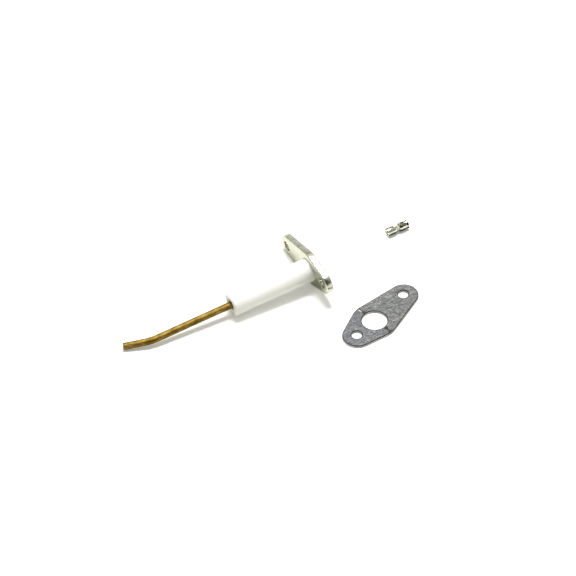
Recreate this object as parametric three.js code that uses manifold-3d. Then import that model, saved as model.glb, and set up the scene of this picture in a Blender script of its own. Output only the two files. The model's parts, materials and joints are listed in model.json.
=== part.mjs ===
// Ignition electrode laid out with its gasket and its cable terminal.
// Millimetres, +Z up, everything rests on Z = 0. +X runs along the electrode from its
// tip towards its flange, +Y towards the flange's long ear.

import * as THREE from "three";
import { mergeVertices } from "three/addons/utils/BufferGeometryUtils.js";
import Module from "manifold-3d";

const wasm = await Module();
wasm.setup();

// ---- Driving dimensions ----------------------------------------------------------

const CLEARANCE = 0.3;

// Electrode rod
const ROD_RADIUS = 1.5;
const ROD_BEND = THREE.MathUtils.degToRad(20);
const ROD_BEND_RADIUS = 16;
const ROD_STRAIGHT = 37;
const ROD_TIP_LENGTH = 11.7;

// Ceramic insulator
const INSULATOR_RADIUS = 5;
const INSULATOR_EXPOSED = 36.5;
const INSULATOR_CHAMFER = 0.4;
const COLLAR_RADIUS = 6.2;
const COLLAR_THICKNESS = 1;
const REAR_NECK_RADIUS = 4.6;
const REAR_NECK_PROUD = 0.4;
const SOCKET_RADIUS = 2.6;
const SOCKET_DEPTH = 10.4;
const SEAL_POCKET_RADIUS = 2.7;
const SEAL_POCKET_DEPTH = 3;

// Mounting flange
const FLANGE_THICKNESS = 3;
const FLANGE_LAND = 1;
const FLANGE_EDGE = 0.4;
const FLANGE_OUTLINE = { hub: 7.8, longEar: 4.8, longReach: 18.8, shortEar: 4.9, shortReach: 10.9 };
const BOLT_HOLE_RADIUS = 2.15;
const BOLT_LONG = 19;
const BOLT_SHORT = 11;

// Rod stop and cement in the rear socket
const STOP_LENGTH = 2;
const CEMENT_LENGTH = 1.4;
const TAIL_RECESS = 1;

// Gasket
const GASKET_OUTLINE = { hub: 9.6, longEar: 6.05, longReach: 18.9, shortEar: 6.35, shortReach: 10.9 };
const GASKET_BORE_RADIUS = 5.25;
const GASKET_FACING = 0.5;
const GASKET_CORE = 0.2;
const GASKET_BOLT_OFFSET = 0.4;
const CREASE_WIDTH = 0.35;
const CREASE_DEPTH = 0.25;
const CREASE_SKEW = THREE.MathUtils.degToRad(5.4);

// Cable terminal
const TERMINAL_SHEET = 0.35;
const TERMINAL_HALF_LENGTH = 4.9;
const TERMINAL_CRIMP_RADIUS = 1.75;
const TERMINAL_WAIST_RADIUS = 1.35;
const TERMINAL_BULGE_RADIUS = 1.95;

// Places on the surface, measured from the centre of the flange's seat face
const GASKET_PLACE = { x: 12.6, y: -32.5, turn: THREE.MathUtils.degToRad(21.5) };
const TERMINAL_PLACE = { x: 46.1, y: 8.1, turn: THREE.MathUtils.degToRad(1.5) };

// ---- Derived places along the electrode's axis (X = 0 on the flange's seat face) ----

const FRONT_END = -INSULATOR_EXPOSED;
const REAR_END = FLANGE_THICKNESS + REAR_NECK_PROUD;
const SOCKET_FLOOR = REAR_END - SOCKET_DEPTH;
const BORE_RADIUS = ROD_RADIUS + CLEARANCE;
const COLLAR_FRONT = FLANGE_LAND + CLEARANCE;
const COLLAR_BACK = COLLAR_FRONT + COLLAR_THICKNESS;

const BEND_X = FRONT_END - ROD_STRAIGHT;
const TIP_X = BEND_X - ROD_TIP_LENGTH * Math.cos(ROD_BEND);
const TIP_Y = ROD_TIP_LENGTH * Math.sin(ROD_BEND);

// The flange stands on its long flank and the rod on its tip, so the flank's own slope
// rolls the electrode and the height between the two supports tilts it.
const REST_ROLL = -Math.asin((FLANGE_OUTLINE.hub - FLANGE_OUTLINE.longEar) / FLANGE_OUTLINE.longReach);
const TIP_DROP = TIP_Y * Math.sin(REST_ROLL) - ROD_RADIUS;
const REST_TILT = Math.atan2(FLANGE_OUTLINE.hub + TIP_DROP, -TIP_X);
const REST_HEIGHT = FLANGE_OUTLINE.hub * Math.cos(REST_TILT);

// ---- Helpers -----------------------------------------------------------------------

function toSolid(geometry) {
  const bare = geometry.clone();
  bare.deleteAttribute("normal");
  bare.deleteAttribute("uv");
  const merged = mergeVertices(bare, 1e-4);
  const vertProperties = new Float32Array(merged.attributes.position.array);
  const triVerts = new Uint32Array(merged.index.array);
  return new wasm.Manifold(new wasm.Mesh({ numProp: 3, vertProperties, triVerts }));
}

function toGeometry(solid) {
  const { vertProperties, triVerts } = solid.getMesh();
  const geometry = new THREE.BufferGeometry();
  geometry.setAttribute("position", new THREE.BufferAttribute(vertProperties, 3));
  geometry.setIndex(new THREE.BufferAttribute(triVerts, 1));
  geometry.computeVertexNormals();
  return geometry;
}

// A ring or shaft about the X axis from a closed profile of [along X, radius] points,
// listed anticlockwise with X to the right and the radius upwards.
function revolve(profile, segments = 48) {
  const closed = [...profile, profile[0]].reverse();
  const points = closed.map(([along, radius]) => new THREE.Vector2(radius, along));
  return new THREE.LatheGeometry(points, segments).rotateZ(-Math.PI / 2);
}

function ring(from, to, inner, outer, segments = 32) {
  return revolve([[from, inner], [to, inner], [to, outer], [from, outer]], segments);
}

// Kite-shaped plate outline: a hub disc and two smaller ear discs with their common tangents.
function kiteShape({ hub, longEar, longReach, shortEar, shortReach }) {
  const quarter = Math.PI / 2;
  const longSlope = Math.asin((hub - longEar) / longReach);
  const shortSlope = Math.asin((hub - shortEar) / shortReach);
  const shape = new THREE.Shape();
  shape.absarc(longReach, 0, longEar, longSlope - quarter, quarter - longSlope, false);
  shape.absarc(0, 0, hub, quarter - longSlope, quarter + shortSlope, false);
  shape.absarc(-shortReach, 0, shortEar, quarter + shortSlope, 3 * quarter - shortSlope, false);
  shape.absarc(0, 0, hub, 3 * quarter - shortSlope, 3 * quarter + longSlope, false);
  return shape;
}

function roundHole(x, y, radius) {
  return new THREE.Path().absarc(x, y, radius, 0, 2 * Math.PI, true);
}

function part(name, geometry, material) {
  const mesh = new THREE.Mesh(geometry, new THREE.MeshStandardMaterial(material));
  mesh.name = name;
  return mesh;
}

// ---- Electrode -----------------------------------------------------------------------

function electrodeRod() {
  const tail = new THREE.Vector3(REAR_END - TAIL_RECESS, 0, 0);
  const corner = new THREE.Vector3(BEND_X, 0, 0);
  const tip = new THREE.Vector3(TIP_X, TIP_Y, 0);
  const setback = ROD_BEND_RADIUS * Math.tan(ROD_BEND / 2);
  const bendStart = corner.clone().lerp(tail, setback / corner.distanceTo(tail));
  const bendEnd = corner.clone().lerp(tip, setback / corner.distanceTo(tip));
  const centreline = new THREE.CurvePath();
  centreline.add(new THREE.LineCurve3(tail, bendStart));
  centreline.add(new THREE.QuadraticBezierCurve3(bendStart, corner, bendEnd));
  centreline.add(new THREE.LineCurve3(bendEnd, tip));
  const section = new THREE.Shape().absarc(0, 0, ROD_RADIUS, 0, 2 * Math.PI, false);
  const options = { steps: 48, curveSegments: 12, bevelEnabled: false, extrudePath: centreline };
  const material = { color: 0x8a6236, roughness: 0.5, metalness: 0.8 };
  return part("electrode_rod", new THREE.ExtrudeGeometry(section, options), material);
}

function ceramicInsulator() {
  const profile = [
    [FRONT_END + SEAL_POCKET_DEPTH, BORE_RADIUS],
    [SOCKET_FLOOR, BORE_RADIUS],
    [SOCKET_FLOOR, SOCKET_RADIUS],
    [REAR_END, SOCKET_RADIUS],
    [REAR_END, REAR_NECK_RADIUS],
    [COLLAR_BACK, REAR_NECK_RADIUS],
    [COLLAR_BACK, COLLAR_RADIUS],
    [COLLAR_FRONT, COLLAR_RADIUS],
    [COLLAR_FRONT, INSULATOR_RADIUS],
    [FRONT_END + INSULATOR_CHAMFER, INSULATOR_RADIUS],
    [FRONT_END, INSULATOR_RADIUS - INSULATOR_CHAMFER],
    [FRONT_END, SEAL_POCKET_RADIUS],
    [FRONT_END + SEAL_POCKET_DEPTH, SEAL_POCKET_RADIUS],
  ];
  const material = { color: 0xf1f0ea, roughness: 0.3, metalness: 0 };
  return part("ceramic_insulator", revolve(profile), material);
}

function frontCementSeal() {
  const from = FRONT_END + CLEARANCE;
  const to = FRONT_END + SEAL_POCKET_DEPTH - CLEARANCE;
  const geometry = ring(from, to, BORE_RADIUS, SEAL_POCKET_RADIUS - CLEARANCE);
  return part("front_cement_seal", geometry, { color: 0xd8d2c4, roughness: 0.9, metalness: 0 });
}

function rodStopCollar() {
  const from = SOCKET_FLOOR + CLEARANCE;
  const geometry = ring(from, from + STOP_LENGTH, BORE_RADIUS, SOCKET_RADIUS - CLEARANCE);
  return part("rod_stop_collar", geometry, { color: 0xb9b9b6, roughness: 0.35, metalness: 1 });
}

function rearCementSeal() {
  const from = SOCKET_FLOOR + STOP_LENGTH + 2 * CLEARANCE;
  const geometry = ring(from, from + CEMENT_LENGTH, BORE_RADIUS, SOCKET_RADIUS - CLEARANCE);
  return part("rear_cement_seal", geometry, { color: 0xd8d2c4, roughness: 0.9, metalness: 0 });
}

function mountingFlange() {
  const shape = kiteShape(FLANGE_OUTLINE);
  shape.holes.push(roundHole(0, 0, INSULATOR_RADIUS + CLEARANCE));
  shape.holes.push(roundHole(BOLT_LONG, 0, BOLT_HOLE_RADIUS));
  shape.holes.push(roundHole(-BOLT_SHORT, 0, BOLT_HOLE_RADIUS));
  const plate = new THREE.ExtrudeGeometry(shape, {
    depth: FLANGE_THICKNESS - 2 * FLANGE_EDGE,
    curveSegments: 10,
    bevelThickness: FLANGE_EDGE,
    bevelSize: FLANGE_EDGE,
    bevelOffset: -FLANGE_EDGE,
    bevelSegments: 2,
  });
  plate.translate(0, 0, FLANGE_EDGE);
  const pocketDepth = FLANGE_THICKNESS;
  const pocket = new THREE.CylinderGeometry(
    COLLAR_RADIUS + CLEARANCE,
    COLLAR_RADIUS + CLEARANCE,
    pocketDepth,
    48,
  );
  pocket.rotateX(Math.PI / 2);
  pocket.translate(0, 0, FLANGE_LAND + pocketDepth / 2);
  const geometry = toGeometry(toSolid(plate).subtract(toSolid(pocket)));
  // The plate is drawn flat with the ears along X, then stood up: ears along Y, thickness along X.
  geometry.applyMatrix4(new THREE.Matrix4().makeBasis(
    new THREE.Vector3(0, 1, 0),
    new THREE.Vector3(0, 0, 1),
    new THREE.Vector3(1, 0, 0),
  ));
  return part("mounting_flange", geometry, { color: 0xcfcfc8, roughness: 0.2, metalness: 1 });
}

function flangeCementRing() {
  const from = COLLAR_BACK + CLEARANCE;
  const geometry = ring(from, FLANGE_THICKNESS, REAR_NECK_RADIUS + CLEARANCE, COLLAR_RADIUS);
  return part("flange_cement_ring", geometry, { color: 0xcdc7b8, roughness: 0.9, metalness: 0 });
}

function electrode() {
  const group = new THREE.Group();
  group.add(
    electrodeRod(),
    rodStopCollar(),
    ceramicInsulator(),
    frontCementSeal(),
    rearCementSeal(),
    mountingFlange(),
    flangeCementRing(),
  );
  group.rotation.set(REST_ROLL, -REST_TILT, 0, "YXZ");
  group.position.z = REST_HEIGHT;
  return group;
}

// ---- Gasket ----------------------------------------------------------------------------

function gasketLayer(thickness) {
  const shape = kiteShape(GASKET_OUTLINE);
  shape.holes.push(roundHole(0, 0, GASKET_BORE_RADIUS));
  shape.holes.push(roundHole(BOLT_LONG, GASKET_BOLT_OFFSET, BOLT_HOLE_RADIUS));
  shape.holes.push(roundHole(-BOLT_SHORT, GASKET_BOLT_OFFSET, BOLT_HOLE_RADIUS));
  return new THREE.ExtrudeGeometry(shape, {
    depth: thickness,
    curveSegments: 10,
    bevelEnabled: false,
  });
}

// The top facing is creased straight across its widest part, on both sides of the bore.
function creasedFacing() {
  const crease = new THREE.BoxGeometry(CREASE_WIDTH, 4 * GASKET_OUTLINE.hub, 2 * CREASE_DEPTH);
  crease.rotateZ(-CREASE_SKEW);
  crease.translate(0, 0, GASKET_FACING);
  return toGeometry(toSolid(gasketLayer(GASKET_FACING)).subtract(toSolid(crease)));
}

function gasket() {
  const graphite = { color: 0x808383, roughness: 0.7, metalness: 0.2 };
  const bottom = part("gasket_bottom_facing", gasketLayer(GASKET_FACING), graphite);
  const core = part("gasket_steel_core", gasketLayer(GASKET_CORE), {
    color: 0xa8a9a8,
    roughness: 0.4,
    metalness: 1,
  });
  const top = part("gasket_top_facing", creasedFacing(), graphite);
  core.position.z = GASKET_FACING;
  top.position.z = GASKET_FACING + GASKET_CORE;
  const group = new THREE.Group();
  group.add(bottom, core, top);
  group.rotation.z = GASKET_PLACE.turn;
  group.position.set(GASKET_PLACE.x, GASKET_PLACE.y, 0);
  return group;
}

// ---- Cable terminal ----------------------------------------------------------------------

// Outer radius of the rolled sheet along the terminal: crimp barrel, waist, sprung
// receptacle with its contact pinch, flared mouth.
const TERMINAL_STATIONS = [
  [-TERMINAL_HALF_LENGTH, TERMINAL_CRIMP_RADIUS],
  [-1.2, TERMINAL_CRIMP_RADIUS],
  [-0.6, TERMINAL_WAIST_RADIUS],
  [0.3, TERMINAL_WAIST_RADIUS],
  [1.2, TERMINAL_BULGE_RADIUS - 0.1],
  [2, TERMINAL_BULGE_RADIUS],
  [2.8, TERMINAL_BULGE_RADIUS - 0.1],
  [3.8, TERMINAL_BULGE_RADIUS - 0.25],
  [TERMINAL_HALF_LENGTH, TERMINAL_BULGE_RADIUS],
];

function cableTerminal() {
  const outside = TERMINAL_STATIONS;
  const inside = outside.map(([along, radius]) => [along, radius - TERMINAL_SHEET]);
  const tube = revolve([...inside, ...[...outside].reverse()], 40);

  // Plan view of the opening along the top: wide over the crimp barrel and the waist,
  // a window over the receptacle that narrows to the slot between its two springs.
  const half = [
    [-TERMINAL_HALF_LENGTH - 1, 1.15],
    [-1.1, 1.15],
    [-0.9, 1.6],
    [0.5, 1.6],
    [0.8, 0.75],
    [2.4, 0.85],
    [3.2, 0.35],
    [TERMINAL_HALF_LENGTH + 1, 0.35],
  ];
  const mirrored = half.map(([along, side]) => [along, -side]).reverse();
  const plan = new THREE.Shape([...half, ...mirrored].map(([x, y]) => new THREE.Vector2(x, y)));
  const opening = new THREE.ExtrudeGeometry(plan, { depth: 3, bevelEnabled: false });
  const geometry = toGeometry(toSolid(tube).subtract(toSolid(opening)));
  const mesh = part("cable_terminal", geometry, { color: 0xd6d6cf, roughness: 0.15, metalness: 1 });
  mesh.rotation.z = TERMINAL_PLACE.turn;
  mesh.position.set(TERMINAL_PLACE.x, TERMINAL_PLACE.y, TERMINAL_BULGE_RADIUS);
  return mesh;
}

// ---- The set, centred over the origin ------------------------------------------------------

const set = new THREE.Group();
set.add(electrode(), gasket(), cableTerminal());
set.updateMatrixWorld(true);
const centre = new THREE.Box3().setFromObject(set, true).getCenter(new THREE.Vector3());
set.position.set(-centre.x, -centre.y, 0);

export default set;
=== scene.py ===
"""Looks of the laid-out ignition electrode set: electrode, flange gasket and cable terminal."""

import json
import math

import bmesh
import bpy
from mathutils import Matrix, Vector, noise
from mathutils.geometry import delaunay_2d_cdt

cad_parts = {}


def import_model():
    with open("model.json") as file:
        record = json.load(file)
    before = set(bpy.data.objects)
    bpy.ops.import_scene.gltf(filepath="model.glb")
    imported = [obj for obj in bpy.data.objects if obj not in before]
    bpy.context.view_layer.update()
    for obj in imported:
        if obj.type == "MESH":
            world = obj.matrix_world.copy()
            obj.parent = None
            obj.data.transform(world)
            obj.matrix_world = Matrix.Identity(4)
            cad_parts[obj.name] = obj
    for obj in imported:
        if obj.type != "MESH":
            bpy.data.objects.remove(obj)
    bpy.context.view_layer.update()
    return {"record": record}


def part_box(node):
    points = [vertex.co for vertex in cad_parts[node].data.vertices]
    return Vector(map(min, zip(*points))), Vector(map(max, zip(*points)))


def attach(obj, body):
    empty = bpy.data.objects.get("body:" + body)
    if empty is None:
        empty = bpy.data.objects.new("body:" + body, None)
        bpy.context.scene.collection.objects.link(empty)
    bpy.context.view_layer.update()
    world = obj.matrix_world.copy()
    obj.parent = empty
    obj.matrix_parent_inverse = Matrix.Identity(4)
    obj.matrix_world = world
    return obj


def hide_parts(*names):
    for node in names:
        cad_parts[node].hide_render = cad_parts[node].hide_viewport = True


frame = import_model()

# ---- Dimensions in millimetres, in each item's own frame --------------------------------
# Electrode: X = 0 on the flange's seat face and runs to the rear, Y towards the long ear.
# Gasket: X from the bore towards the long ear. Terminal: X from crimp to receptacle.

MM = 0.001
TAU = 2 * math.pi

ROD_RADIUS = 1.5
ROD_TAIL = 2.4
ROD_BEND_X = -73.5
ROD_BEND = math.radians(20)
ROD_BEND_RADIUS = 16
ROD_TIP_LENGTH = 11.7
ROD_EDGE = 0.14
ROD_SEGMENTS = 72
ROD_STRAIGHT_STEPS = 40
ROD_BEND_STEPS = 24
ROD_TIP_STEPS = 8
ROD_UNEVENNESS = 0.012

INSULATOR_RADIUS = 5
INSULATOR_FRONT = -36.5
INSULATOR_REAR = 3.4
COLLAR_RADIUS = 6.2
COLLAR_SPAN = (1.3, 2.3)
REAR_NECK_RADIUS = 4.6
SOCKET_RADIUS = 2.6
SOCKET_FLOOR = -7.0
SEAL_POCKET_RADIUS = 2.7
SEAL_POCKET_FLOOR = -33.5
SEAL_RECESS = 0.15
STOP_SPAN = (-6.7, -4.7)
REAR_CEMENT_SPAN = (-4.7, -3.0)
BORE_RADIUS = 1.56
INSULATOR_SEGMENTS = 128
INSULATOR_UNEVENNESS = 0.015
# How far the cement runs into what it touches, and how far the stop collar keeps clear
OVERLAP = 0.01
STOP_GAP = 0.02
CEMENT_SEGMENTS = 112
CEMENT_FILLET = 0.05
CEMENT_DISH = 0.12
CEMENT_LUMPS = 0.07
# Depth over which the shape of the cement's exposed end fades
CEMENT_SKIN = 0.3

FLANGE = {"hub": 7.8, "ears": ((18.8, 4.8), (-10.9, 4.9))}
FLANGE_THICKNESS = 3
FLANGE_BORE = 5.06
FLANGE_POCKET = 6.5
FLANGE_LAND = 1
FLANGE_REAR_EDGE = 0.35
FLANGE_SEAT_EDGE = 0.6
FLANGE_GRID = 1.1
BORE_CHAMFER = 0.3
BOLT_RADIUS = 2.15
BOLT_REAR_EDGE = 0.22
BOLT_SEAT_EDGE = 0.3
BOLTS = (19, -11)

GASKET = {"hub": 9.6, "ears": ((18.9, 6.05), (-10.9, 6.35))}
GASKET_BORE = 5.25
GASKET_BOLT_OFFSET = 0.4
GASKET_LEVELS = {"bottom": (0, 0.5), "core": (0.5, 0.7), "top": (0.7, 1.2)}
CREASE_SKEW = math.radians(5.4)
GASKET_EDGE = 0.36
GASKET_LOWER_EDGE = 0.06
GASKET_GRID = 0.55
GASKET_COARSE_GRID = 1.2
CREASE_ROWS = 34
CREASE_ROW_STEP = 0.12
CREASE_COLUMNS = 5
CREASE_COLUMN_STEP = 0.13
CREASE_MARGIN = 0.4
CREASE_WANDER = 0.28
CREASE_DEPTH = 0.27
CREASE_WIDTH = 0.2
LIP_HEIGHT = 0.09
LIP_WIDTH = 0.22
LIP_OFFSET = 0.45
SHEET_RELIEF = 0.03
SHEET_RAGGEDNESS = 0.035

# The flanks of both plates swell a little, as a punched edge does
FLANK_BULGE = 0.015

TERMINAL_HALF_LENGTH = 4.9
SHEET = 0.35
SHEET_EDGE = 0.05
TERMINAL_TURN = math.radians(1.5)
TERMINAL_AXIS_HEIGHT = 1.95

STOP_CENTRE_X = (STOP_SPAN[0] + STOP_SPAN[1]) / 2


# ---- Places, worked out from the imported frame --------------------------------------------

def node_centre(node):
    low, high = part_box(node)
    return (low + high) / 2


def place(origin, along, side):
    """Rigid matrix of an item's own frame from its origin, its X direction and its Y direction."""
    x = along.normalized()
    z = x.cross(side).normalized()
    y = z.cross(x)
    matrix = Matrix((x, y, z)).transposed().to_4x4()
    matrix.translation = origin
    return matrix


MOUNTS = {m["name"]: Vector(m["pos_m"]) for m in frame["record"]["mounts"]}
BORE_BOX = frame["record"]["physics"]["openings"][0]["box_m"]
UP = Vector((0, 0, 1))


def electrode_place():
    """On the seat face, along the line between the front seal and the stop collar."""
    front = node_centre("front_cement_seal")
    stop = node_centre("rod_stop_collar")
    along = (stop - front).normalized()
    seat = stop - along * STOP_CENTRE_X * MM
    return place(seat, along, MOUNTS["flange_seat"] - seat)


def gasket_place():
    """In the middle of the bore, on the surface, with X towards the long ear."""
    bore = (Vector(BORE_BOX[0]) + Vector(BORE_BOX[1])) / 2
    bore.z = 0
    along = MOUNTS["gasket_top"] - bore
    along.z = 0
    return place(bore, along, UP.cross(along))


def terminal_place():
    """In the middle of the terminal, at the height of its axis."""
    middle = node_centre("cable_terminal")
    middle.z = TERMINAL_AXIS_HEIGHT * MM
    along = Vector((math.cos(TERMINAL_TURN), math.sin(TERMINAL_TURN), 0))
    return place(middle, along, UP.cross(along))


# ---- Outlines ------------------------------------------------------------------------------

def fillet(before, corner, after, radius, steps):
    """Arc that rounds one corner of an outline."""
    if radius == 0:
        return [corner]
    to_before = (before - corner).normalized()
    to_after = (after - corner).normalized()
    half = to_before.angle(to_after) / 2
    centre = corner + (to_before + to_after).normalized() * (radius / math.sin(half))
    reach = radius / math.tan(half)
    start = corner + to_before * reach - centre
    sweep = start.angle_signed(corner + to_after * reach - centre)
    turns = [Matrix.Rotation(-sweep * i / steps, 2) for i in range(steps + 1)]
    return [centre + turn @ start for turn in turns]


def rounded(corners, steps=5):
    """Closed outline through (x, y, fillet radius) corners."""
    points = [Vector(c[:2]) for c in corners]
    outline = []
    for i, (_, _, radius) in enumerate(corners):
        after = points[(i + 1) % len(points)]
        outline += fillet(points[i - 1], points[i], after, radius, steps)
    return outline


def subdivided(outline, longest):
    """The closed outline with points added so that no side is longer than the given length."""
    dense = []
    for i, start in enumerate(outline):
        end = outline[(i + 1) % len(outline)]
        pieces = max(1, math.ceil((end - start).length / longest))
        dense += [start.lerp(end, k / pieces) for k in range(pieces)]
    return dense


def arc(x, radius, start, end, steps):
    angles = [start + (end - start) * i / steps for i in range(steps + 1)]
    return [Vector((x + radius * math.cos(a), radius * math.sin(a))) for a in angles]


def kite(plate, inset=0.0, arc_steps=28, flank_steps=18):
    """Outline round a hub disc and two ear discs, moved inwards by inset, anticlockwise."""
    (far, far_ear), (near, near_ear) = plate["ears"]
    hub = plate["hub"]
    lean_far = math.asin((hub - far_ear) / far)
    lean_near = math.asin((hub - near_ear) / -near)
    quarter = math.pi / 2
    hub_steps = arc_steps // 3
    arcs = [
        arc(far, far_ear - inset, lean_far - quarter, quarter - lean_far, arc_steps),
        arc(0, hub - inset, quarter - lean_far, quarter + lean_near, hub_steps),
        arc(near, near_ear - inset, quarter + lean_near, 3 * quarter - lean_near, arc_steps),
        arc(0, hub - inset, 3 * quarter - lean_near, 3 * quarter + lean_far, hub_steps),
    ]
    outline = []
    for i, points in enumerate(arcs):
        following = arcs[(i + 1) % len(arcs)][0]
        outline += points
        along = following - points[-1]
        outward = Vector((along.y, -along.x)).normalized() * FLANK_BULGE
        for k in range(1, flank_steps):
            t = k / flank_steps
            outline.append(points[-1] + along * t + outward * 4 * t * (1 - t))
    return outline


def circle(x, y, radius, steps):
    angles = [TAU * i / steps for i in range(steps)]
    return [Vector((x + radius * math.cos(a), y + radius * math.sin(a))) for a in angles]


def inside(polygon, point):
    """True if the point is inside a convex anticlockwise polygon."""
    sides = zip(polygon, polygon[1:] + polygon[:1])
    return all((b - a).cross(point - a) > 0 for a, b in sides)


# ---- Meshes ----------------------------------------------------------------------------------

def finish_piece(name, points, faces, where, body, replaced, material, uv=None, sharp=40):
    """A closed mesh piece from points in millimetres, placed, riding on its body.

    The points as given are kept as the attribute "local", which the materials are laid out by.
    """
    mesh = bpy.data.meshes.new(name)
    mesh.from_pydata([where @ (Vector(p) * MM) for p in points], [], faces)
    local = mesh.attributes.new("local", "FLOAT_VECTOR", "POINT")
    local.data.foreach_set("vector", [c for p in points for c in p])
    if uv:
        layer = mesh.uv_layers.new(name="surface")
        for loop in mesh.loops:
            layer.data[loop.index].uv = uv(loop.vertex_index)
    shape = bmesh.new()
    shape.from_mesh(mesh)
    bmesh.ops.recalc_face_normals(shape, faces=shape.faces)
    shape.to_mesh(mesh)
    shape.free()
    mesh.shade_smooth()
    mesh.set_sharp_from_angle(angle=math.radians(sharp))
    mesh.materials.append(material)
    piece = bpy.data.objects.new(name, mesh)
    bpy.context.scene.collection.objects.link(piece)
    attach(piece, body)
    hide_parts(replaced)
    return piece


def revolve(profile, segments, wobble=None):
    """Points and faces of a closed profile of (x, radius) turned about the X axis."""
    points = []
    for s in range(segments):
        c, d = math.cos(TAU * s / segments), math.sin(TAU * s / segments)
        for x, r in profile:
            p = Vector((x, r * c, r * d))
            points.append(p + wobble(p) if wobble else p)
    n = len(profile)
    faces = []
    for s in range(segments):
        here, there = s * n, (s + 1) % segments * n
        faces += [
            (here + i, here + (i + 1) % n, there + (i + 1) % n, there + i) for i in range(n)
        ]
    return points, faces


def bridge(first, second):
    """Quads between two rings of point numbers of equal length."""
    n = len(first)
    return [(first[i], first[(i + 1) % n], second[(i + 1) % n], second[i]) for i in range(n)]


def cap(loops, interior):
    """Triangles over a convex outer loop, round its hole loops, through the interior points."""
    flat = [p for loop in loops for p in loop] + interior
    edges, owner, start = [], {}, 0
    for number, loop in enumerate(loops):
        n = len(loop)
        edges += [(start + i, start + (i + 1) % n) for i in range(n)]
        owner.update({start + i: number for i in range(n)})
        start += n
    made = delaunay_2d_cdt(flat, edges, [], 0, 1e-6)
    origin = [found[0] for found in made[3]]
    triangles = [tuple(origin[i] for i in face) for face in made[2]]
    return [t for t in triangles if len({owner.get(i) for i in t}) > 1 or not owner.get(t[0])]


def scatter(plate, holes, spacing, margin):
    """Staggered grid points over a plate, clear of its outline and of its holes."""
    border = kite(plate, margin)
    (far, far_ear), (near, near_ear) = plate["ears"]
    rows = int(2 * plate["hub"] / spacing)
    columns = int((far + far_ear - near + near_ear) / spacing)
    found = []
    for row in range(rows + 1):
        for column in range(columns + 1):
            x = near - near_ear + (column + 0.5 * (row % 2)) * spacing
            point = Vector((x, row * spacing - plate["hub"]))
            clear = all((point - Vector((hx, hy))).length > r + margin for hx, hy, r in holes)
            if clear and inside(border, point):
                found.append(point)
    return found


def plate_mesh(plate, rim, holes, spacing, extra=(), hole_steps=72):
    """Plate with a shaped rim and shaped holes, as (x, y, height) points and faces.

    rim and each hole's profile are (inset, height) pairs from the top face to the bottom
    face; an inset moves the outline into the metal.
    """
    rings = [[kite(plate, inset) for inset, _ in rim]]
    heights = [[z for _, z in rim]]
    for x, y, radius, profile in holes:
        rings.append([circle(x, y, radius + inset, hole_steps) for inset, _ in profile])
        heights.append([z for _, z in profile])
    points, numbers = [], []
    for stack, levels in zip(rings, heights):
        numbers.append([])
        for ring, z in zip(stack, levels):
            numbers[-1].append(range(len(points), len(points) + len(ring)))
            points += [(p.x, p.y, z) for p in ring]
    faces = []
    for stack in numbers:
        for upper, lower in zip(stack, stack[1:]):
            faces += bridge(upper, lower)
    for end in (0, -1):
        clear = [(x, y, radius + profile[end][0]) for x, y, radius, profile in holes]
        grid = scatter(plate, clear, spacing, rim[end][0] + 0.5 * spacing)
        if end == 0:
            grid += list(extra)
        loops = [stack[end] for stack in rings]
        lookup = [i for stack in numbers for i in stack[end]]
        lookup += range(len(points), len(points) + len(grid))
        z = rim[end][1]
        points += [(p.x, p.y, z) for p in grid]
        faces += [tuple(lookup[i] for i in t) for t in cap(loops, grid)]
    return points, faces


def edge_profile(top, bottom, top_radius, bottom_radius, steps=5, flat=0.3):
    """(inset, height) pairs down a straight edge with rounded corners, flat before and after."""
    quarter = [math.pi / 2 * i / steps for i in range(steps + 1)]
    upper = [
        (top_radius * (1 - math.sin(a)), top - top_radius * (1 - math.cos(a))) for a in quarter
    ]
    lower = [
        (bottom_radius * (1 - math.cos(a)), bottom + bottom_radius * (1 - math.sin(a)))
        for a in quarter
    ]
    return [(top_radius + flat, top)] + upper + lower + [(bottom_radius + flat, bottom)]


def without_loose(points, faces):
    """The same mesh without the points that no face uses."""
    used = sorted({v for face in faces for v in face})
    renumber = {old: new for new, old in enumerate(used)}
    return [points[v] for v in used], [tuple(renumber[v] for v in face) for face in faces]


def bell(distance, width):
    """1 at no distance, and falling to 0 over a few widths."""
    return math.exp(-(distance / width) ** 2)


def smooth(points, x):
    """Value at x of a table of (x, value) pairs, eased between them."""
    if x <= points[0][0]:
        return points[0][1]
    for (x0, v0), (x1, v1) in zip(points, points[1:]):
        if x <= x1:
            t = (x - x0) / (x1 - x0)
            return v0 + (v1 - v0) * t * t * (3 - 2 * t)
    return points[-1][1]


# ---- Materials -----------------------------------------------------------------------------

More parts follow.
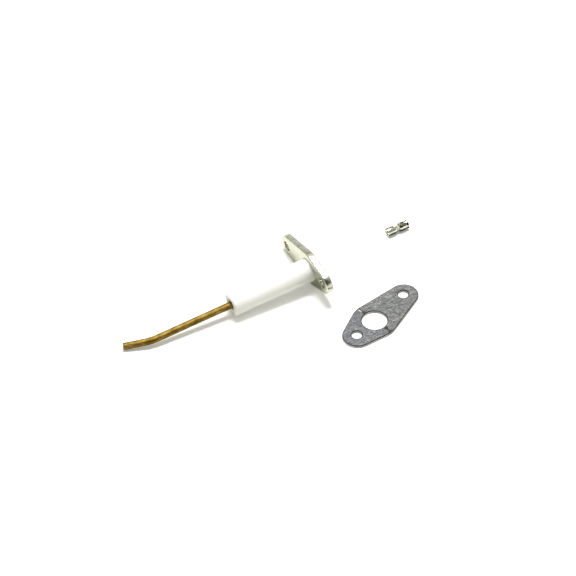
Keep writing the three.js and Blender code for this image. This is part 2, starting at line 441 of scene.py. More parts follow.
class Finish:
    """A Principled material, with short calls for the nodes that feed it."""

    def __init__(self, name, **constants):
        self.material = bpy.data.materials.new(name)
        self.material.use_nodes = True
        self.tree = self.material.node_tree
        self.shader = self.tree.nodes["Principled BSDF"]
        for key, value in constants.items():
            self.feed(self.shader.inputs[key.replace("_", " ")], value)

    def feed(self, socket, value):
        if isinstance(value, bpy.types.NodeSocket):
            self.tree.links.new(value, socket)
        else:
            socket.default_value = value

    def node(self, kind, settings=None, **inputs):
        made = self.tree.nodes.new(kind)
        for key, value in (settings or {}).items():
            setattr(made, key, value)
        for key, value in inputs.items():
            self.feed(made.inputs[key.replace("_", " ")], value)
        return made

    def set(self, name, value):
        self.feed(self.shader.inputs[name], value)

    def place(self, scale=(1, 1, 1), turn=(0, 0, 0), source="local"):
        """Texture coordinates in millimetres in the item's own frame, turned and stretched."""
        if source == "local":
            attribute = self.node("ShaderNodeAttribute", {"attribute_name": "local"})
            coordinates = attribute.outputs["Vector"]
        else:
            coordinates = self.node("ShaderNodeTexCoord").outputs[source]
        turned = self.node("ShaderNodeMapping", Vector=coordinates, Rotation=turn)
        return self.node("ShaderNodeMapping", Vector=turned.outputs[0], Scale=scale).outputs[0]

    def noise(self, where, scale, detail=4.0, roughness=0.55, distortion=0.0):
        made = self.node("ShaderNodeTexNoise", Vector=where, Scale=scale, Detail=detail,
                         Roughness=roughness, Distortion=distortion)
        return made.outputs["Fac"]

    def maths(self, operation, *values):
        made = self.node("ShaderNodeMath", {"operation": operation})
        for socket, value in zip(made.inputs, values):
            self.feed(socket, value)
        return made.outputs[0]

    def blend(self, first, share, second):
        """Mean of two factors, where the first has the given share of the weight."""
        weighed = self.maths("MULTIPLY", first, share)
        return self.maths("ADD", weighed, self.maths("MULTIPLY", second, 1 - share))

    def ramp(self, factor, stops):
        """Colour that runs through (position, colour) stops."""
        made = self.node("ShaderNodeValToRGB", Fac=factor)
        elements = made.color_ramp.elements
        while len(elements) < len(stops):
            elements.new(1.0)
        for element, (position, colour) in zip(elements, stops):
            element.position = position
            element.color = (*colour, 1)
        return made.outputs["Color"]

    def between(self, factor, low, high, start=0.0, end=1.0):
        """The factor, mapped from the range start to end onto low to high and held within it."""
        made = self.node("ShaderNodeMapRange", Value=factor, From_Min=start, From_Max=end,
                         To_Min=low, To_Max=high)
        return made.outputs[0]

    def mix(self, factor, first, second, blend="MIX"):
        made = self.node("ShaderNodeMix", {"data_type": "RGBA", "blend_type": blend})
        colours = [s for s in made.inputs if s.type == "RGBA"]
        self.feed(made.inputs[0], factor)
        self.feed(colours[0], first)
        self.feed(colours[1], second)
        return next(s for s in made.outputs if s.type == "RGBA")

    def bump(self, height, depth):
        """Bump of the given depth in millimetres."""
        made = self.node("ShaderNodeBump", Height=height, Strength=1.0, Distance=depth * MM)
        previous = self.shader.inputs["Normal"]
        if previous.is_linked:
            self.feed(made.inputs["Normal"], previous.links[0].from_socket)
        self.feed(previous, made.outputs[0])


def oxidised_alloy():
    """Heat-resistant wire, bronze-brown, with slanting draw marks."""
    finish = Finish("oxidised_alloy", Metallic=0.95, Coat_Weight=0.14, Coat_Roughness=0.42)
    marks = finish.place((0.35, 5, 1), (0, 0, math.radians(24)), "UV")
    patches = finish.place((0.28, 0.5, 1), source="UV")
    fine = finish.noise(marks, 1.0, 6, 0.7)
    broad = finish.noise(patches, 1.0, 3)
    colour = finish.ramp(finish.blend(fine, 0.6, broad), [
        (0.36, (0.06, 0.034, 0.002)),
        (0.46, (0.17, 0.105, 0.008)),
        (0.54, (0.29, 0.185, 0.028)),
        (0.66, (0.60, 0.43, 0.21)),
    ])
    finish.set("Base Color", colour)
    finish.set("Roughness", finish.between(fine, 0.52, 0.7, 0.3, 0.7))
    finish.bump(fine, 0.03)
    finish.bump(finish.noise(finish.place(), 14, 3), 0.004)
    return finish.material


def white_ceramic():
    """Dense white alumina with a fine dry grain and faint grey specks."""
    finish = Finish("white_ceramic", Coat_Weight=0.12, Coat_Roughness=0.25,
                    Subsurface_Weight=0.7, Subsurface_Radius=(1.0, 1.0, 0.9),
                    Subsurface_Scale=3 * MM)
    where = finish.place()
    cloud = finish.noise(where, 0.22, 3)
    speck = finish.between(finish.noise(where, 3.2, 2, 0.4), 0, 1, 0.69, 0.76)
    body = finish.ramp(cloud, [(0.3, (0.91, 0.905, 0.86)), (0.7, (0.93, 0.93, 0.90))])
    finish.set("Base Color", finish.mix(speck, body, (0.66, 0.63, 0.55, 1)))
    finish.set("Roughness", finish.between(finish.noise(where, 6, 4), 0.34, 0.5))
    finish.bump(finish.noise(where, 9, 5), 0.006)
    finish.bump(finish.noise(where, 0.8, 2), 0.02)
    return finish.material


def cement(name, dark, light, painted_rod_shade=False):
    """Refractory cement: sandy, matt and pitted; with the flag set, it is painted black round the
    rod: painted shade.
    """
    finish = Finish(name)
    where = finish.place()
    grain = finish.noise(where, 7, 6, 0.75)
    colour = finish.ramp(grain, [(0.35, dark), (0.62, light)])
    if painted_rod_shade:
        # Painted shade: black in a ragged ring round the rod
        flat = finish.place(scale=(0, 1, 1))
        radius = finish.node("ShaderNodeVectorMath", {"operation": "LENGTH"}, Vector=flat)
        ragged = finish.maths("ADD", radius.outputs["Value"], finish.between(grain, -0.12, 0.12))
        black = finish.between(ragged, 1.0, 0.0, ROD_RADIUS + 0.2, ROD_RADIUS + 0.55)
        colour = finish.mix(black, colour, (0.03, 0.024, 0.016, 1))
    finish.set("Base Color", colour)
    finish.set("Roughness", finish.between(grain, 0.8, 0.97))
    finish.bump(grain, 0.09)
    return finish.material


def bright_steel():
    """Plain turned or rolled steel with fine lines."""
    finish = Finish("bright_steel", Metallic=1.0)
    where = finish.place((0.6, 9, 9))
    lines = finish.noise(where, 1, 5, 0.7)
    colour = finish.ramp(lines, [(0.3, (0.46, 0.46, 0.45)), (0.7, (0.68, 0.68, 0.66))])
    finish.set("Base Color", colour)
    finish.set("Roughness", finish.between(lines, 0.25, 0.42))
    finish.bump(lines, 0.01)
    return finish.material


def nickel_plate():
    """Bright plated flange, faintly warm, slightly uneven like a plated pressing."""
    finish = Finish("nickel_plate", Metallic=1.0)
    where = finish.place()
    cloud = finish.noise(where, 0.35, 4)
    grain = finish.noise(where, 5, 5, 0.65)
    colour = finish.ramp(cloud, [(0.3, (0.60, 0.605, 0.50)), (0.7, (0.72, 0.725, 0.64))])
    finish.set("Base Color", colour)
    finish.set("Roughness", finish.between(grain, 0.13, 0.3, 0.3, 0.7))
    finish.bump(finish.noise(where, 0.5, 2), 0.05)
    finish.bump(grain, 0.006)
    return finish.material


def painted_dark_rear_edge():
    """Nearly black plating along the flange's rear edge: a painted dark reflection."""
    finish = Finish("painted_dark_rear_edge", Metallic=1.0)
    grain = finish.noise(finish.place(), 4, 5, 0.7)
    colour = finish.ramp(grain, [(0.3, (0.05, 0.05, 0.04)), (0.7, (0.11, 0.11, 0.09))])
    finish.set("Base Color", colour)
    finish.set("Roughness", finish.between(grain, 0.3, 0.5))
    finish.bump(grain, 0.01)
    return finish.material


def terminal_plate(name, with_painted_shade):
    """Thin nickel-plated strip, nearly mirror bright.

    With the flag set, its colour is painted dark above and below a bright belt at mid height:
    painted shade and painted dark reflections.
    """
    finish = Finish(name, Metallic=1.0)
    where = finish.place()
    cloud = finish.noise(where, 0.9, 3)
    lines = finish.noise(finish.place((0.4, 10, 10)), 1, 4, 0.7)
    bright = finish.ramp(cloud, [(0.3, (0.74, 0.74, 0.66)), (0.7, (0.86, 0.86, 0.80))])
    if with_painted_shade:
        # Painted shade and painted dark reflections: dark low and high on the strip, by height
        height = finish.node("ShaderNodeSeparateXYZ", Vector=where).outputs["Z"]
        level = finish.maths("ADD", height, finish.between(cloud, -0.25, 0.25))
        below = finish.between(level, 1.0, 0.0, 0.1, 0.5)
        above = finish.between(level, 0.0, 0.8, 0.95, 1.3)
        painted_shade_and_reflection = finish.maths("MAXIMUM", below, above)
        finish.set("Base Color", finish.mix(painted_shade_and_reflection, bright, (0.03, 0.03, 0.022, 1)))
    else:
        finish.set("Base Color", bright)
    finish.set("Roughness", finish.between(lines, 0.07, 0.2, 0.3, 0.7))
    finish.bump(lines, 0.006)
    return finish.material


def graphite_sheet(name, creased):
    """Rolled graphite gasket sheet: mid grey, swirled and slightly shiny."""
    finish = Finish(name, Metallic=0.25)
    where = finish.place()
    warp = finish.noise(where, 0.28, 2, 0.5)
    swirl = finish.noise(finish.place((0.55, 1.5, 1), (0, 0, 0.5)), 1.0, 6, 0.62, 1.6)
    flake = finish.noise(where, 3.2, 5, 0.7)
    colour = finish.ramp(finish.blend(swirl, 0.62, flake), [
        (0.38, (0.025, 0.026, 0.026)),
        (0.47, (0.085, 0.088, 0.087)),
        (0.53, (0.145, 0.148, 0.148)),
        (0.62, (0.36, 0.365, 0.365)),
    ])
    # The half with the short ear is a little bluer
    along = finish.node("ShaderNodeSeparateXYZ", Vector=where).outputs["X"]
    short_half = finish.between(along, 0.6, 0.0, -2.0, 1.0)
    colour = finish.mix(short_half, colour, (0.95, 0.95, 1.08, 1), "MULTIPLY")
    if creased:
        # Painted shade in the crease's crack and a painted highlight on the lip beside it
        dark, light = crease_shade_and_highlight(finish, where)
        colour = finish.mix(light, colour, (0.62, 0.63, 0.62, 1))
        colour = finish.mix(dark, colour, (0.006, 0.006, 0.006, 1))
    finish.set("Base Color", colour)
    finish.set("Roughness", finish.between(flake, 0.42, 0.68, 0.3, 0.7))
    finish.bump(swirl, 0.1)
    finish.bump(flake, 0.035)
    finish.bump(warp, 0.12)
    return finish.material


# The painted shade in the crack, as (position, half width) pairs, where position runs from 0 to 1
# along the crease, from -CREASE_REACH to CREASE_REACH from the bore's centre. The bore takes up the
# middle.
CREASE_REACH = 10.0
CRACK_SHADE_WIDTHS = (
    (0.0, 1.2), (0.06, 1.0), (0.08, 0.3), (0.13, 0.35), (0.155, 0.8), (0.24, 0.75),
    (0.76, 0.75), (0.82, 0.8), (0.84, 0.0), (0.94, 0.0), (0.955, 1.0), (1.0, 1.2),
)


def crease_shade_and_highlight(finish, where):
    """Masks of the painted shade in the crease's ragged crack and of the painted highlight on the
    raised lip beside it.
    """
    turned = finish.node("ShaderNodeMapping", Vector=where, Rotation=(0, 0, CREASE_SKEW))
    split = finish.node("ShaderNodeSeparateXYZ", Vector=turned.outputs[0])
    across, along = split.outputs["X"], split.outputs["Y"]
    wander = finish.between(finish.noise(where, 0.8, 3, 0.6), -0.5, 0.5)
    ragged = finish.maths("ADD", across, wander)
    off = finish.maths("ABSOLUTE", ragged)
    position = finish.between(along, 0.0, 1.0, -CREASE_REACH, CREASE_REACH)
    width = finish.ramp(position, [(at, (half, half, half)) for at, half in CRACK_SHADE_WIDTHS])
    dark = finish.between(finish.maths("SUBTRACT", off, width), 1.0, 0.0, -0.1, 0.06)
    # The painted highlight lies beside the crack, on one side of the bore only
    lift = finish.maths("ABSOLUTE", finish.maths("ADD", ragged, 0.2))
    lip_highlight = finish.between(lift, 1.0, 0.0, 0.26, 0.42)
    stretch = finish.between(along, 0.0, 1.0, 6.5, 6.9)
    return dark, finish.maths("MULTIPLY", lip_highlight, stretch)


def painted_light_wall():
    """Paler graphite on the upright walls: painted light on walls that lie in shade."""
    finish = Finish("painted_light_wall", Metallic=0.1)
    layers = finish.noise(finish.place((0.8, 0.8, 6)), 1.2, 5, 0.7)
    colour = finish.ramp(layers, [(0.3, (0.40, 0.405, 0.40)), (0.7, (0.74, 0.745, 0.74))])
    finish.set("Base Color", colour)
    finish.set("Roughness", finish.between(layers, 0.6, 0.85))
    finish.bump(layers, 0.04)
    return finish.material


def painted_shade_edge():
    """Nearly black graphite on the rounded edges and the crease's slopes: painted shade."""
    finish = Finish("painted_shade_edge", Metallic=0.2)
    grain = finish.noise(finish.place(), 3, 5, 0.7)
    colour = finish.ramp(grain, [(0.3, (0.012, 0.013, 0.013)), (0.7, (0.05, 0.052, 0.052))])
    finish.set("Base Color", colour)
    finish.set("Roughness", finish.between(grain, 0.5, 0.75))
    finish.bump(grain, 0.03)
    return finish.material


def pale_floor():
    """White table top, lit faintly from below and duller in reflections than to the eye."""
    finish = Finish("pale_floor", Roughness=0.9, Specular_IOR_Level=0.0)
    cloud = finish.noise(finish.place(source="Object"), 20, 3)
    colour = finish.ramp(cloud, [(0.3, (0.84, 0.84, 0.83)), (0.7, (0.86, 0.86, 0.85))])
    finish.set("Base Color", colour)
    finish.set("Emission Color", (1.0, 1.0, 0.93, 1.0))
    finish.set("Emission Strength", 0.25)
    seen = finish.node("ShaderNodeLightPath").outputs["Is Camera Ray"]
    dull = finish.node("ShaderNodeBsdfDiffuse", Color=(*FLOOR_REFLECTED, 1.0))
    both = finish.node("ShaderNodeMixShader", Fac=seen)
    finish.tree.links.new(dull.outputs[0], both.inputs[1])
    finish.tree.links.new(finish.shader.outputs[0], both.inputs[2])
    finish.tree.links.new(both.outputs[0], finish.tree.nodes["Material Output"].inputs["Surface"])
    return finish.material


# ---- Electrode -----------------------------------------------------------------------------

def rod_stations():
    """(point, direction) pairs down the rod's centreline, from its tail to its tip."""
    corner = Vector((ROD_BEND_X, 0, 0))
    away = Vector((-math.cos(ROD_BEND), math.sin(ROD_BEND), 0))
    back = Vector((1, 0, 0))
    setback = ROD_BEND_RADIUS * math.tan(ROD_BEND / 2)
    start, end = corner + back * setback, corner + away * setback
    tail = Vector((ROD_TAIL, 0, 0))
    stations = []
    for i in range(ROD_STRAIGHT_STEPS):
        stations.append((tail.lerp(start, i / ROD_STRAIGHT_STEPS), -back))
    for i in range(ROD_BEND_STEPS + 1):
        t = i / ROD_BEND_STEPS
        point = start * (1 - t) ** 2 + corner * 2 * t * (1 - t) + end * t * t
        stations.append((point, (-back * (1 - t) + away * t).normalized()))
    final = corner + away * ROD_TIP_LENGTH
    for i in range(1, ROD_TIP_STEPS + 1):
        stations.append((end.lerp(final, i / ROD_TIP_STEPS), away))
    return stations


def rod_rings():
    """(point, direction, radius) rings of the rod, with both cut ends slightly rounded."""
    body = rod_stations()
    edge = ROD_EDGE / ROD_RADIUS
    # (distance from the cut end in edge radii, radius in rod radii)
    ends = [(0.0, 0.35), (0.0, 0.7), (0.0, 1 - edge), (0.3, 1 - 0.3 * edge)]
    first, last = body[0], body[-1]
    rings = [(first[0] + first[1] * ROD_EDGE * t, first[1], ROD_RADIUS * s) for t, s in ends]
    rings += [(first[0] + first[1] * ROD_EDGE, first[1], ROD_RADIUS)]
    rings += [(point, direction, ROD_RADIUS) for point, direction in body[1:-1]]
    rings += [(last[0] - last[1] * ROD_EDGE, last[1], ROD_RADIUS)]
    rings += [(last[0] - last[1] * ROD_EDGE * t, last[1], ROD_RADIUS * s) for t, s in reversed(ends)]
    return rings


def electrode_rod(where, material):
    segments = ROD_SEGMENTS
    points, surface = [], []
    travelled, previous = 0.0, None
    for point, direction, radius in rod_rings():
        travelled += (point - previous).length if previous else 0
        previous = point
        side = UP.cross(direction)
        for s in range(segments):
            angle = TAU * s / segments - math.pi / 2
            c, d = math.cos(angle), math.sin(angle)
            ragged = ROD_UNEVENNESS * noise.noise(Vector((travelled * 0.7, 2 * c, 2 * d)))
            points.append(point + (side * c + UP * d) * (radius + ragged))
            surface.append((travelled, ROD_RADIUS * TAU * s / segments))
    rings = len(points) // segments
    faces = []
    for r in range(rings - 1):
        first = range(r * segments, (r + 1) * segments)
        faces += bridge(first, range(first[0] + segments, first[0] + 2 * segments))
    faces.append(tuple(range(segments)))
    faces.append(tuple(range((rings - 1) * segments, rings * segments)))
    return finish_piece("rod", points, faces, where, "electrode", "electrode_rod",
                        material, uv=lambda i: surface[i])


def insulator(where, material):
    corners = [
        (SEAL_POCKET_FLOOR, BORE_RADIUS, 0.1),
        (SOCKET_FLOOR, BORE_RADIUS, 0.1),
        (SOCKET_FLOOR, SOCKET_RADIUS, 0.2),
        (INSULATOR_REAR, SOCKET_RADIUS, 0.2),
        (INSULATOR_REAR, REAR_NECK_RADIUS, 0.35),
        (COLLAR_SPAN[1], REAR_NECK_RADIUS, 0.1),
        (COLLAR_SPAN[1], COLLAR_RADIUS, 0.15),
        (COLLAR_SPAN[0], COLLAR_RADIUS, 0.15),
        (COLLAR_SPAN[0], INSULATOR_RADIUS, 0.1),
        (INSULATOR_FRONT, INSULATOR_RADIUS, 0.45),
        (INSULATOR_FRONT, SEAL_POCKET_RADIUS, 0.18),
        (SEAL_POCKET_FLOOR, SEAL_POCKET_RADIUS, 0.1),
    ]

    def wobble(p):
        out = Vector((0, p.y, p.z)).normalized()
        return out * INSULATOR_UNEVENNESS * noise.noise(p * 0.16)

    points, faces = revolve(subdivided(rounded(corners), 0.9), INSULATOR_SEGMENTS, wobble)
    return finish_piece("insulator", points, faces, where, "electrode", "ceramic_insulator",
                        material)


def cement_ring(name, replaced, span, inner, outer, exposed, where, material):
    """Ring of hand-filled cement: the end of its span numbered by exposed is dished and lumpy."""
    low, high = span
    corners = [(x, r, CEMENT_FILLET) for x, r in
               ((low, inner), (high, inner), (high, outer), (low, outer))]
    middle, half = (inner + outer) / 2, (outer - inner) / 2
    inward = 1 if exposed == 0 else -1

    def wobble(p):
        radius = math.hypot(p.y, p.z)
        on_face = max(0.0, 1 - abs(p.x - span[exposed]) / CEMENT_SKIN)
        dish = CEMENT_DISH * (1 - ((radius - middle) / half) ** 2)
        lump = CEMENT_LUMPS * noise.fractal(p * 1.4, 0.8, 2.0, 4)
        return Vector((inward * on_face * (dish + abs(lump)), 0, 0))

    points, faces = revolve(subdivided(rounded(corners, 3), 0.14), CEMENT_SEGMENTS, wobble)
    return finish_piece(name, points, faces, where, "electrode", replaced, material)


def stop_collar(where, material):
    low, high = STOP_SPAN
    outer = SOCKET_RADIUS - STOP_GAP
    inner = ROD_RADIUS + STOP_GAP
    corners = [(low, inner, 0.1), (high, inner, 0.1), (high, outer, 0.25), (low, outer, 0.25)]
    points, faces = revolve(subdivided(rounded(corners), 0.4), 96)
    return finish_piece("stop_collar", points, faces, where, "electrode", "rod_stop_collar",
                        material)


def flange(where, material):
    """Plated pressing: softly rounded outside, stepped bore for the insulator's collar."""
    thick = FLANGE_THICKNESS
    rim = edge_profile(thick, 0, FLANGE_REAR_EDGE, FLANGE_SEAT_EDGE, 6)
    bolt = edge_profile(thick, 0, BOLT_REAR_EDGE, BOLT_SEAT_EDGE, 4)
    # The bore's profile: chamfer, pocket for the insulator's collar, land, and chamfer again
    step = FLANGE_POCKET - FLANGE_BORE
    bore = [
        (step + 2 * BORE_CHAMFER, thick),
        (step + BORE_CHAMFER, thick),
        (step + 0.1, thick - 0.08),
        (step, thick - BORE_CHAMFER),
        (step, FLANGE_LAND + 0.1),
        (step - 0.1, FLANGE_LAND),
        (0.1, FLANGE_LAND),
        (0, FLANGE_LAND - 0.1),
        (0, BORE_CHAMFER),
        (0.1, 0.08),
        (BORE_CHAMFER, 0),
        (2 * BORE_CHAMFER, 0),
    ]
    holes = [(0, 0, FLANGE_BORE, bore)] + [(x, 0, BOLT_RADIUS, bolt) for x in BOLTS]
    points, faces = plate_mesh(FLANGE, rim, holes, FLANGE_GRID)
    # The plate is laid out flat with its seat face at height 0, and its height runs to the rear
    stood = [(z, x, y) for x, y, z in points]
    piece = finish_piece("flange", stood, faces, where, "electrode", "mounting_flange",
                         material, sharp=50)
    # Painted dark reflection along the rounded rear edge
    paint_dark_rear_edge(piece, where)
    return piece


def paint_dark_rear_edge(piece, where):
    """Gives the rounded rear edge of the flange, clear of its pocket, a painted dark reflection."""
    piece.data.materials.append(painted_dark_rear_edge())
    to_rear = where.to_3x3() @ Vector((1, 0, 0))
    edge_start = (FLANGE_THICKNESS - FLANGE_REAR_EDGE) * MM
    # Past the chamfer round the pocket
    clear_of_pocket = (FLANGE_POCKET + 0.5) * MM
    to_own_frame = where.inverted()
    for face in piece.data.polygons:
        centre = to_own_frame @ face.center
        at_rear = centre.x > edge_start and math.hypot(centre.y, centre.z) > clear_of_pocket
        if at_rear and 0.3 < face.normal.dot(to_rear) < 0.97:
            face.material_index = 1


# ---- Gasket ----------------------------------------------------------------------------------

CREASE_ALONG = Vector((math.sin(CREASE_SKEW), math.cos(CREASE_SKEW)))
CREASE_ACROSS = Vector((math.cos(CREASE_SKEW), -math.sin(CREASE_SKEW)))


def crease_points():
    """Close rows of points beside the crease, on both sides of the bore."""
    start = GASKET_BORE + GASKET_EDGE + CREASE_MARGIN
    end = GASKET["hub"] - GASKET_EDGE - CREASE_MARGIN
    found = []
    for side in (-1, 1):
        for i in range(CREASE_ROWS):
            along = start + i * CREASE_ROW_STEP
            if along > end:
                break
            for k in range(-CREASE_COLUMNS, CREASE_COLUMNS + 1):
                across = CREASE_ACROSS * k * CREASE_COLUMN_STEP
                found.append(CREASE_ALONG * side * along + across)
    return found


def crease_depth(x, y):
    """How far the top surface drops at the crease, which wanders and splits unevenly."""
    across = CREASE_ACROSS.dot(Vector((x, y)))
    wander = CREASE_WANDER * noise.noise(Vector((x * 0.2, y * 0.9, 3.1)))
    groove = CREASE_DEPTH * bell(across - wander, CREASE_WIDTH)
    lip = LIP_HEIGHT * bell(across - wander + LIP_OFFSET, LIP_WIDTH)
    strength = 0.75 + 0.5 * noise.noise(Vector((y * 1.1, 0.4, 7.7)))
    return groove * strength - lip * strength


# Height of a face's unit normal: below the first the face is a wall, above the second it is flat
UPRIGHT = 0.2
FLAT = 0.975


def dress_edges(piece, rounded_edge, wall):
    """Gives the rounded edges and the crease's slopes painted shade, and the walls painted light."""
    piece.data.materials.append(rounded_edge)
    piece.data.materials.append(wall)
    for face in piece.data.polygons:
        if UPRIGHT < face.normal.z < FLAT:
            face.material_index = 1
        elif abs(face.normal.z) <= UPRIGHT:
            face.material_index = 2


def gasket_layer(name, replaced, levels, creased, where, material):
    low, high = levels
    upper_edge = GASKET_EDGE if creased else GASKET_LOWER_EDGE
    edge = edge_profile(high, low, upper_edge, GASKET_LOWER_EDGE, 3)
    holes = [(0, 0, GASKET_BORE, edge)]
    holes += [(x, GASKET_BOLT_OFFSET, BOLT_RADIUS, edge) for x in BOLTS]
    spacing = GASKET_GRID if creased else GASKET_COARSE_GRID
    extra = crease_points() if creased else ()
    points, faces = plate_mesh(GASKET, edge, holes, spacing, extra)
    if creased:
        points = [sheet_surface(Vector(p), low, high) for p in points]
    return finish_piece(name, points, faces, where, "gasket", replaced, material, sharp=55)


def sheet_surface(p, low, high):
    """The point of the top facing moved by the crease and by the sheet's rolled relief."""
    share = (p.z - low) / (high - low)
    relief = SHEET_RELIEF * noise.fractal(Vector((p.x * 0.35, p.y * 0.8, 1.3)), 0.9, 2.1, 4)
    ragged = SHEET_RAGGEDNESS * noise.noise(p * 1.3)
    out = Vector((p.x, p.y, 0)).normalized() * ragged
    drop = crease_depth(p.x, p.y)
    return p + out + Vector((0, 0, share * (min(relief, 0.0) - drop)))


# ---- Cable terminal --------------------------------------------------------------------------

# (x, outer radius) down the terminal: crimp barrel, waist, receptacle and its flared mouth
TERMINAL_RADIUS = [(-4.9, 1.75), (-1.35, 1.72), (-0.65, 1.35), (0.25, 1.35), (1.2, 1.85),
                   (2.0, 1.95), (2.9, 1.84), (3.9, 1.66), (4.6, 1.74), (4.9, 1.93)]
# (x, half angle in degrees) of the opening along the top
TERMINAL_OPENING = [(-4.9, 44), (-1.3, 44), (-0.85, 92), (0.3, 92), (0.95, 27), (2.1, 29),
                    (3.1, 11), (4.9, 11)]
TERMINAL_STEPS = 112
TERMINAL_AROUND = 64
CRIMP_GROOVES = (-4.0, -3.2, -2.4)
GROOVE_DEPTH = 0.07
GROOVE_WIDTH = 0.13
DIMPLE_X = 2.1
DIMPLE_DEPTH = 0.22
DIMPLE_LENGTH = 0.55
# How far the dimple reaches up and down, as a share of the radius
DIMPLE_REACH = 0.1


def terminal_station(x, turn, depth):
    """Point of the rolled strip at x and angle from the top, depth into the strip."""
    side, rise = math.sin(turn), math.cos(turn)
    # A dimple pressed into both sides of the receptacle, and grooves inside the crimp barrel
    dimple = DIMPLE_DEPTH * bell(x - DIMPLE_X, DIMPLE_LENGTH) * bell(abs(side) - 1, DIMPLE_REACH)
    groove = GROOVE_DEPTH * sum(bell(x - at, GROOVE_WIDTH) for at in CRIMP_GROOVES)
    r = smooth(TERMINAL_RADIUS, x) - depth - dimple + groove * depth / SHEET
    return Vector((x, r * side, r * rise))


def terminal_ring(x, depth):
    """Points round the strip at x, from one side of its opening to the other."""
    start = math.radians(smooth(TERMINAL_OPENING, x))
    span = TAU - 2 * start
    turns = [start + span * i / TERMINAL_AROUND for i in range(TERMINAL_AROUND + 1)]
    return [terminal_station(x, turn, depth) for turn in turns]


def terminal(where, inside_finish, outside_finish):
    """Rolled strip with open crimp wings, a waist, and a split receptacle with a window."""
    length = 2 * TERMINAL_HALF_LENGTH
    stations = [
        -TERMINAL_HALF_LENGTH + length * i / TERMINAL_STEPS for i in range(TERMINAL_STEPS + 1)
    ]
    depths = [0.0, SHEET_EDGE, SHEET / 2, SHEET - SHEET_EDGE, SHEET]
    # The strip's two cut ends are rounded: its outer and inner faces stop short of them
    shortened = {0: SHEET_EDGE, TERMINAL_STEPS: -SHEET_EDGE}
    points, index = [], {}
    for j, depth in enumerate(depths):
        for i, x in enumerate(stations):
            shift = shortened.get(i, 0) if depth in (0.0, SHEET) else 0
            for k, p in enumerate(terminal_ring(x, depth)):
                index[j, i, k] = len(points)
                points.append(p + Vector((shift, 0, 0)))
    faces = strip_faces(index, len(depths), len(stations), TERMINAL_AROUND)
    points, faces = without_loose(points, faces)
    piece = finish_piece("terminal", points, faces, where, "terminal", "cable_terminal",
                         inside_finish, sharp=50)
    piece.data.materials.append(outside_finish)
    # The strip's faces start with outer and inner ones by turns
    for number in range(0, 2 * TERMINAL_STEPS * TERMINAL_AROUND, 2):
        piece.data.polygons[number].material_index = 1
    return piece


def strip_faces(index, layers, stations, around):
    """Faces of the strip: outer and inner by turns, then both long edges and both ends."""
    faces = []
    last = layers - 1
    for i in range(stations - 1):
        for k in range(around):
            quad = [(i, k), (i, k + 1), (i + 1, k + 1), (i + 1, k)]
            faces.append(tuple(index[0, a, b] for a, b in quad))
            faces.append(tuple(index[last, a, b] for a, b in reversed(quad)))
    for j in range(last):
        for i in range(stations - 1):
            for k in (0, around):
                quad = [(j, i), (j, i + 1), (j + 1, i + 1), (j + 1, i)]
                faces.append(tuple(index[a, b, k] for a, b in quad))
        for k in range(around):
            for i in (0, stations - 1):
                quad = [(j, k), (j, k + 1), (j + 1, k + 1), (j + 1, k)]
                faces.append(tuple(index[a, i, b] for a, b in quad))
    return faces


# ---- Studio ----------------------------------------------------------------------------------

CAMERA_AZIMUTH = math.radians(-29.2)
CAMERA_ELEVATION = math.radians(45.5)
CAMERA_LENS = 1000
SENSOR = 36
# Width of the view at the point that the camera aims at, in metres
FRAME_WIDTH = 0.2351
AIM = Vector((0.00695, 0.00922, 0.00258))
KEY_ELEVATION = math.radians(76)
KEY_DISTANCE = 1.3
KEY_SIZE = (0.45, 0.45)
KEY_RADIANCE = 33
FLOOR_SIZE = 12
FLOOR_GAP = 0.03
FLOOR_REFLECTED = (0.80, 0.80, 0.74)
BACKDROP_LEVEL = 1.3

# (sine of elevation, radiance) of the white tent round the set, from the horizon upwards
TENT = ((0.0, 0.9), (0.26, 0.9), (0.30, 0.12), (0.42, 0.12), (0.47, 0.75), (1.0, 0.6))
TENT_STRONGEST = max(level for _, level in TENT)
TENT_TINT = (1.0, 1.0, 0.92)
# The tent is open on the camera's side: cosines at the opening's inner and outer edge
OPENING = (0.78, 0.62)
OPENING_ELEVATION = math.radians(32)
OPENING_LEVEL = 0.04

# Horizontal direction that the camera looks along
AWAY = Vector((-math.sin(CAMERA_AZIMUTH), math.cos(CAMERA_AZIMUTH), 0))


def lifted(level, elevation):
    """A level direction, raised by an elevation."""
    return level * math.cos(elevation) + UP * math.sin(elevation)


def put(name, data, target, direction, distance):
    """Object at a distance from a target in a direction, facing back to the target."""
    made = bpy.data.objects.new(name, data)
    bpy.context.scene.collection.objects.link(made)
    made.location = target + direction * distance
    made.rotation_mode = "QUATERNION"
    made.rotation_quaternion = (-direction).to_track_quat("-Z", "Y")
    return made


def camera():
    data = bpy.data.cameras.new("camera")
    data.lens = CAMERA_LENS
    data.sensor_width = SENSOR
    back = lifted(-AWAY, CAMERA_ELEVATION)
    distance = FRAME_WIDTH * CAMERA_LENS / SENSOR
    bpy.context.scene.camera = put("camera", data, AIM, back, distance)


def key_light():
    """Soft box nearly overhead, a little beyond the set."""
    data = bpy.data.lights.new("key", "AREA")
    data.shape = "RECTANGLE"
    data.size, data.size_y = KEY_SIZE
    data.energy = KEY_RADIANCE * math.pi * KEY_SIZE[0] * KEY_SIZE[1]
    made = put("key", data, Vector((0, 0, 0)), lifted(AWAY, KEY_ELEVATION), KEY_DISTANCE)
    made.visible_camera = False


def tent_colour(nodes, links, direction):
    """Colour of the tent by height, as a share of its strongest level."""
    height = nodes.new("ShaderNodeSeparateXYZ")
    links.new(direction, height.inputs[0])
    band = nodes.new("ShaderNodeValToRGB")
    elements = band.color_ramp.elements
    while len(elements) < len(TENT):
        elements.new(1.0)
    for element, (position, level) in zip(elements, TENT):
        element.position = position
        element.color = (*(level / TENT_STRONGEST * c for c in TENT_TINT), 1)
    links.new(height.outputs["Z"], band.inputs[0])
    return band.outputs[0]


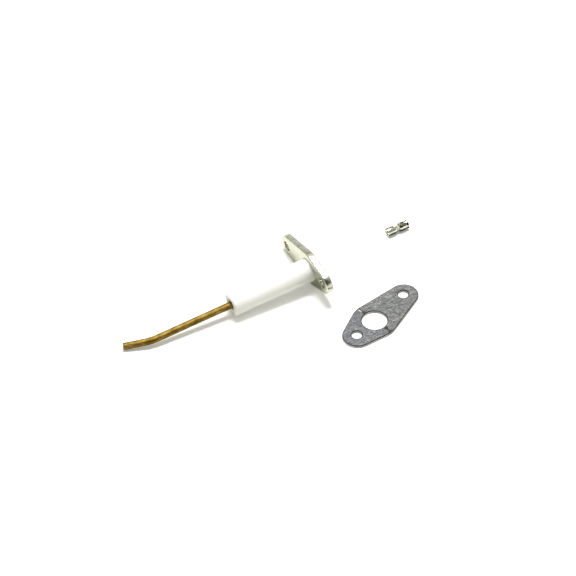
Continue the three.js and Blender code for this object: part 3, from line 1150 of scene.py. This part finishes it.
def tent_strength(nodes, links, direction):
    """Strength of the tent, which falls to almost nothing in its opening."""
    towards = nodes.new("ShaderNodeVectorMath")
    towards.operation = "DOT_PRODUCT"
    links.new(direction, towards.inputs[0])
    towards.inputs[1].default_value = lifted(-AWAY, OPENING_ELEVATION)
    opening = nodes.new("ShaderNodeMapRange")
    links.new(towards.outputs["Value"], opening.inputs["Value"])
    inner, outer = OPENING
    opening.inputs["From Min"].default_value = inner
    opening.inputs["From Max"].default_value = outer
    opening.inputs["To Min"].default_value = OPENING_LEVEL
    opening.inputs["To Max"].default_value = TENT_STRONGEST
    return opening.outputs[0]


def world():
    """White backdrop to the camera; to the set, a white tent with a dark seam and opening."""
    made = bpy.data.worlds.new("studio")
    bpy.context.scene.world = made
    made.use_nodes = True
    nodes, links = made.node_tree.nodes, made.node_tree.links
    nodes.clear()
    direction = nodes.new("ShaderNodeTexCoord").outputs["Generated"]
    tent = nodes.new("ShaderNodeBackground")
    links.new(tent_colour(nodes, links, direction), tent.inputs["Color"])
    links.new(tent_strength(nodes, links, direction), tent.inputs["Strength"])
    backdrop = nodes.new("ShaderNodeBackground")
    backdrop.inputs["Color"].default_value = (1, 1, 1, 1)
    backdrop.inputs["Strength"].default_value = BACKDROP_LEVEL
    switch = nodes.new("ShaderNodeMixShader")
    links.new(nodes.new("ShaderNodeLightPath").outputs["Is Camera Ray"], switch.inputs[0])
    links.new(tent.outputs[0], switch.inputs[1])
    links.new(backdrop.outputs[0], switch.inputs[2])
    links.new(switch.outputs[0], nodes.new("ShaderNodeOutputWorld").inputs["Surface"])


def floor():
    bpy.ops.mesh.primitive_plane_add(size=FLOOR_SIZE)
    made = bpy.context.object
    made.name = "floor"
    made.location.z = -FLOOR_GAP * MM
    made.data.materials.append(pale_floor())


def studio():
    camera()
    world()
    floor()
    key_light()
    bpy.context.scene.view_settings.view_transform = "Standard"


# ---- The set ---------------------------------------------------------------------------------

def electrode():
    where = electrode_place()
    # The front cement carries painted shade round the rod
    front_cement = cement("front_cement", (0.62, 0.59, 0.50), (0.84, 0.82, 0.76), painted_rod_shade=True)
    rear_cement = cement("rear_cement", (0.42, 0.38, 0.30), (0.66, 0.62, 0.53))
    electrode_rod(where, oxidised_alloy())
    insulator(where, white_ceramic())
    stop_collar(where, bright_steel())
    flange(where, nickel_plate())
    inner = ROD_RADIUS - OVERLAP
    front = (INSULATOR_FRONT + SEAL_RECESS, SEAL_POCKET_FLOOR)
    cement_ring("front_cement", "front_cement_seal", front, inner,
                SEAL_POCKET_RADIUS + OVERLAP, 0, where, front_cement)
    cement_ring("rear_cement", "rear_cement_seal", REAR_CEMENT_SPAN, inner,
                SOCKET_RADIUS + OVERLAP, 1, where, rear_cement)
    behind_collar = (COLLAR_SPAN[1] + OVERLAP, FLANGE_THICKNESS)
    cement_ring("flange_cement", "flange_cement_ring", behind_collar, REAR_NECK_RADIUS - OVERLAP,
                FLANGE_POCKET + OVERLAP, 1, where, rear_cement)


def gasket():
    where = gasket_place()
    plain = graphite_sheet("graphite_sheet", False)
    creased = graphite_sheet("graphite_sheet_creased", True)
    steel = bpy.data.materials["bright_steel"]
    bottom = gasket_layer("bottom_facing", "gasket_bottom_facing", GASKET_LEVELS["bottom"], False,
                          where, plain)
    gasket_layer("steel_core", "gasket_steel_core", GASKET_LEVELS["core"], False,
                 where, steel)
    top = gasket_layer("top_facing", "gasket_top_facing", GASKET_LEVELS["top"], True,
                       where, creased)
    # Painted shade on the sloping faces, painted light on the walls
    dark, pale = painted_shade_edge(), painted_light_wall()
    dress_edges(top, dark, pale)
    dress_edges(bottom, dark, pale)


studio()
electrode()
gasket()
# The outside of the strip carries painted shade and painted dark reflections
terminal(terminal_place(), terminal_plate("terminal_plate", False),
         terminal_plate("terminal_outside", True))
